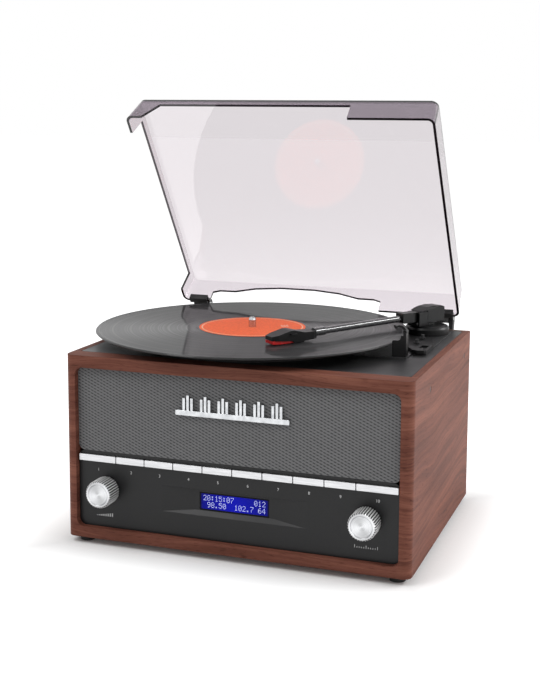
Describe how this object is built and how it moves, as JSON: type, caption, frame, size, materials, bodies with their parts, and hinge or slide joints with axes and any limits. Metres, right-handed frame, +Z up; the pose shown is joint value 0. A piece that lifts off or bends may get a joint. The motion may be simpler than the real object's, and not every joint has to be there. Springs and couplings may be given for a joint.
{
  "type": "stereo music centre",
  "caption": "Wooden table-top radio with a record player on top under a hinged clear lid, a grey cloth grille, bar keys, a blue display and turned metal knobs.",
  "frame": {"origin": "centre of the plane that the feet stand on, in the middle of the wooden case", "axes": "+X to the listener's right, +Y to the back, -Y to the front with the keys and knobs, +Z up; the lid is stored open"},
  "size_m": [0.3372, 0.2984, 0.4034],
  "materials": {
    "walnut": "satin",
    "fibreboard": "matt",
    "rubber": "matt",
    "dark_plastic": "satin",
    "panel_plastic": "satin",
    "cap_plastic": "matt",
    "cloth": "woven",
    "paper": "matt",
    "painted_steel": "satin",
    "chrome": "polished",
    "aluminium": "brushed",
    "steel": "brushed",
    "brass": "satin",
    "circuit_board": "satin",
    "display": "glossy",
    "vinyl": "glossy",
    "label_paper": "matt",
    "arm_paint": "glossy",
    "cartridge_red": "glossy",
    "smoked_clear": "clear"
  },
  "bodies": {
    "cabinet": {"case_shell": "walnut", "rear_board": "fibreboard", "feet": "rubber", "side_caps": "cap_plastic", "baffle_board": "fibreboard", "grille_frame": "dark_plastic", "grille_cloth": "cloth", "speaker_frames": "painted_steel", "speaker_cones": "paper", "badge": "chrome", "front_panel": "panel_plastic", "control_board": "circuit_board", "panel_controls": "dark_plastic", "lcd_module": "dark_plastic", "lcd_glass": "display", "main_board": "circuit_board", "terminal_plate": "dark_plastic", "line_out_jacks": "chrome", "aux_jack": "dark_plastic", "power_jack": "dark_plastic", "deck": "dark_plastic", "chassis_plate": "painted_steel", "spindle": "steel", "bearing": "brass", "motor": "steel", "belt": "rubber", "arm_base": "dark_plastic", "arm_rest": "dark_plastic", "switch_block": "dark_plastic", "hinge_brackets": "dark_plastic", "hinge_pins": "steel"},
    "platter_group": {"platter": "aluminium", "mat": "rubber", "record": "vinyl", "record_label": "label_paper"},
    "motor_pulley": {"pulley": "brass"},
    "arm_turret": {"arm_yoke": "painted_steel"},
    "arm": {"arm_housing": "arm_paint", "arm_tube": "arm_paint", "headshell": "dark_plastic", "cartridge": "cartridge_red"},
    "arm_lock": {"arm_clip": "dark_plastic"},
    "speed_switch": {"speed_peg": "dark_plastic"},
    "stop_switch": {"stop_peg": "dark_plastic"},
    "lid_group": {"lid": "smoked_clear", "lid_clips": "dark_plastic"},
    "volume": {"volume_shaft": "steel", "volume_knob": "aluminium"},
    "tune_push": {"tune_shaft": "steel"},
    "tune": {"tune_knob": "aluminium"},
    "key_1": {"key_1": "aluminium"},
    "key_2": {"key_2": "aluminium"},
    "key_3": {"key_3": "aluminium"},
    "key_4": {"key_4": "aluminium"},
    "key_5": {"key_5": "aluminium"},
    "key_6": {"key_6": "aluminium"},
    "key_7": {"key_7": "aluminium"},
    "key_8": {"key_8": "aluminium"},
    "key_9": {"key_9": "aluminium"},
    "key_10": {"key_10": "aluminium"}
  },
  "joints": [
    {"name": "platter_spin", "type": "hinge", "parent": "cabinet", "child": "platter_group", "pos_m": [-0.027, 0.0025, 0.183], "axis": [0, 0, 1], "continuous": true},
    {"name": "pulley_spin", "type": "hinge", "parent": "cabinet", "child": "motor_pulley", "pos_m": [0.0331, -0.0576, 0.178], "axis": [0, 0, 1], "continuous": true},
    {"name": "arm_swing", "type": "hinge", "parent": "cabinet", "child": "arm_turret", "pos_m": [0.124, 0.092, 0.185], "axis": [0, 0, 1], "range_deg": [-13, 30.1]},
    {"name": "arm_lift", "type": "hinge", "parent": "arm_turret", "child": "arm", "pos_m": [0.11698, 0.07989, 0.191], "axis": [-0.8652, 0.5015, 0], "range_deg": [0, 4]},
    {"name": "arm_lock_swing", "type": "hinge", "parent": "cabinet", "child": "arm_lock", "pos_m": [0.131, -0.029, 0.1989], "axis": [0, 1, 0], "range_deg": [0, 70]},
    {"name": "speed_slide", "type": "slide", "parent": "cabinet", "child": "speed_switch", "axis": [0, 1, 0], "range_m": [0, 0.006]},
    {"name": "stop_slide", "type": "slide", "parent": "cabinet", "child": "stop_switch", "axis": [0, -1, 0], "range_m": [0, 0.006]},
    {"name": "lid_swing", "type": "hinge", "parent": "cabinet", "child": "lid_group", "pos_m": [0, 0.135, 0.1845], "axis": [-1, 0, 0], "range_deg": [-55, 0]},
    {"name": "volume_turn", "type": "hinge", "parent": "cabinet", "child": "volume", "pos_m": [-0.122, -0.129, 0.052], "axis": [0, 1, 0], "continuous": true},
    {"name": "tune_press", "type": "slide", "parent": "cabinet", "child": "tune_push", "axis": [0, 1, 0], "range_m": [0, 0.0008], "stiffness_N_per_m": 600},
    {"name": "tune_turn", "type": "hinge", "parent": "tune_push", "child": "tune", "pos_m": [0.122, -0.129, 0.052], "axis": [0, 1, 0], "continuous": true},
    {"name": "key_1_press", "type": "slide", "parent": "cabinet", "child": "key_1", "axis": [0, 1, 0], "range_m": [0, 0.001], "stiffness_N_per_m": 400},
    {"name": "key_2_press", "type": "slide", "parent": "cabinet", "child": "key_2", "axis": [0, 1, 0], "range_m": [0, 0.001], "stiffness_N_per_m": 400},
    {"name": "key_3_press", "type": "slide", "parent": "cabinet", "child": "key_3", "axis": [0, 1, 0], "range_m": [0, 0.001], "stiffness_N_per_m": 400},
    {"name": "key_4_press", "type": "slide", "parent": "cabinet", "child": "key_4", "axis": [0, 1, 0], "range_m": [0, 0.001], "stiffness_N_per_m": 400},
    {"name": "key_5_press", "type": "slide", "parent": "cabinet", "child": "key_5", "axis": [0, 1, 0], "range_m": [0, 0.001], "stiffness_N_per_m": 400},
    {"name": "key_6_press", "type": "slide", "parent": "cabinet", "child": "key_6", "axis": [0, 1, 0], "range_m": [0, 0.001], "stiffness_N_per_m": 400},
    {"name": "key_7_press", "type": "slide", "parent": "cabinet", "child": "key_7", "axis": [0, 1, 0], "range_m": [0, 0.001], "stiffness_N_per_m": 400},
    {"name": "key_8_press", "type": "slide", "parent": "cabinet", "child": "key_8", "axis": [0, 1, 0], "range_m": [0, 0.001], "stiffness_N_per_m": 400},
    {"name": "key_9_press", "type": "slide", "parent": "cabinet", "child": "key_9", "axis": [0, 1, 0], "range_m": [0, 0.001], "stiffness_N_per_m": 400},
    {"name": "key_10_press", "type": "slide", "parent": "cabinet", "child": "key_10", "axis": [0, 1, 0], "range_m": [0, 0.001], "stiffness_N_per_m": 400}
  ],
  "couplings": [
    {"joint": "pulley_spin", "follows": "platter_spin", "ratio": 14}
  ]
}
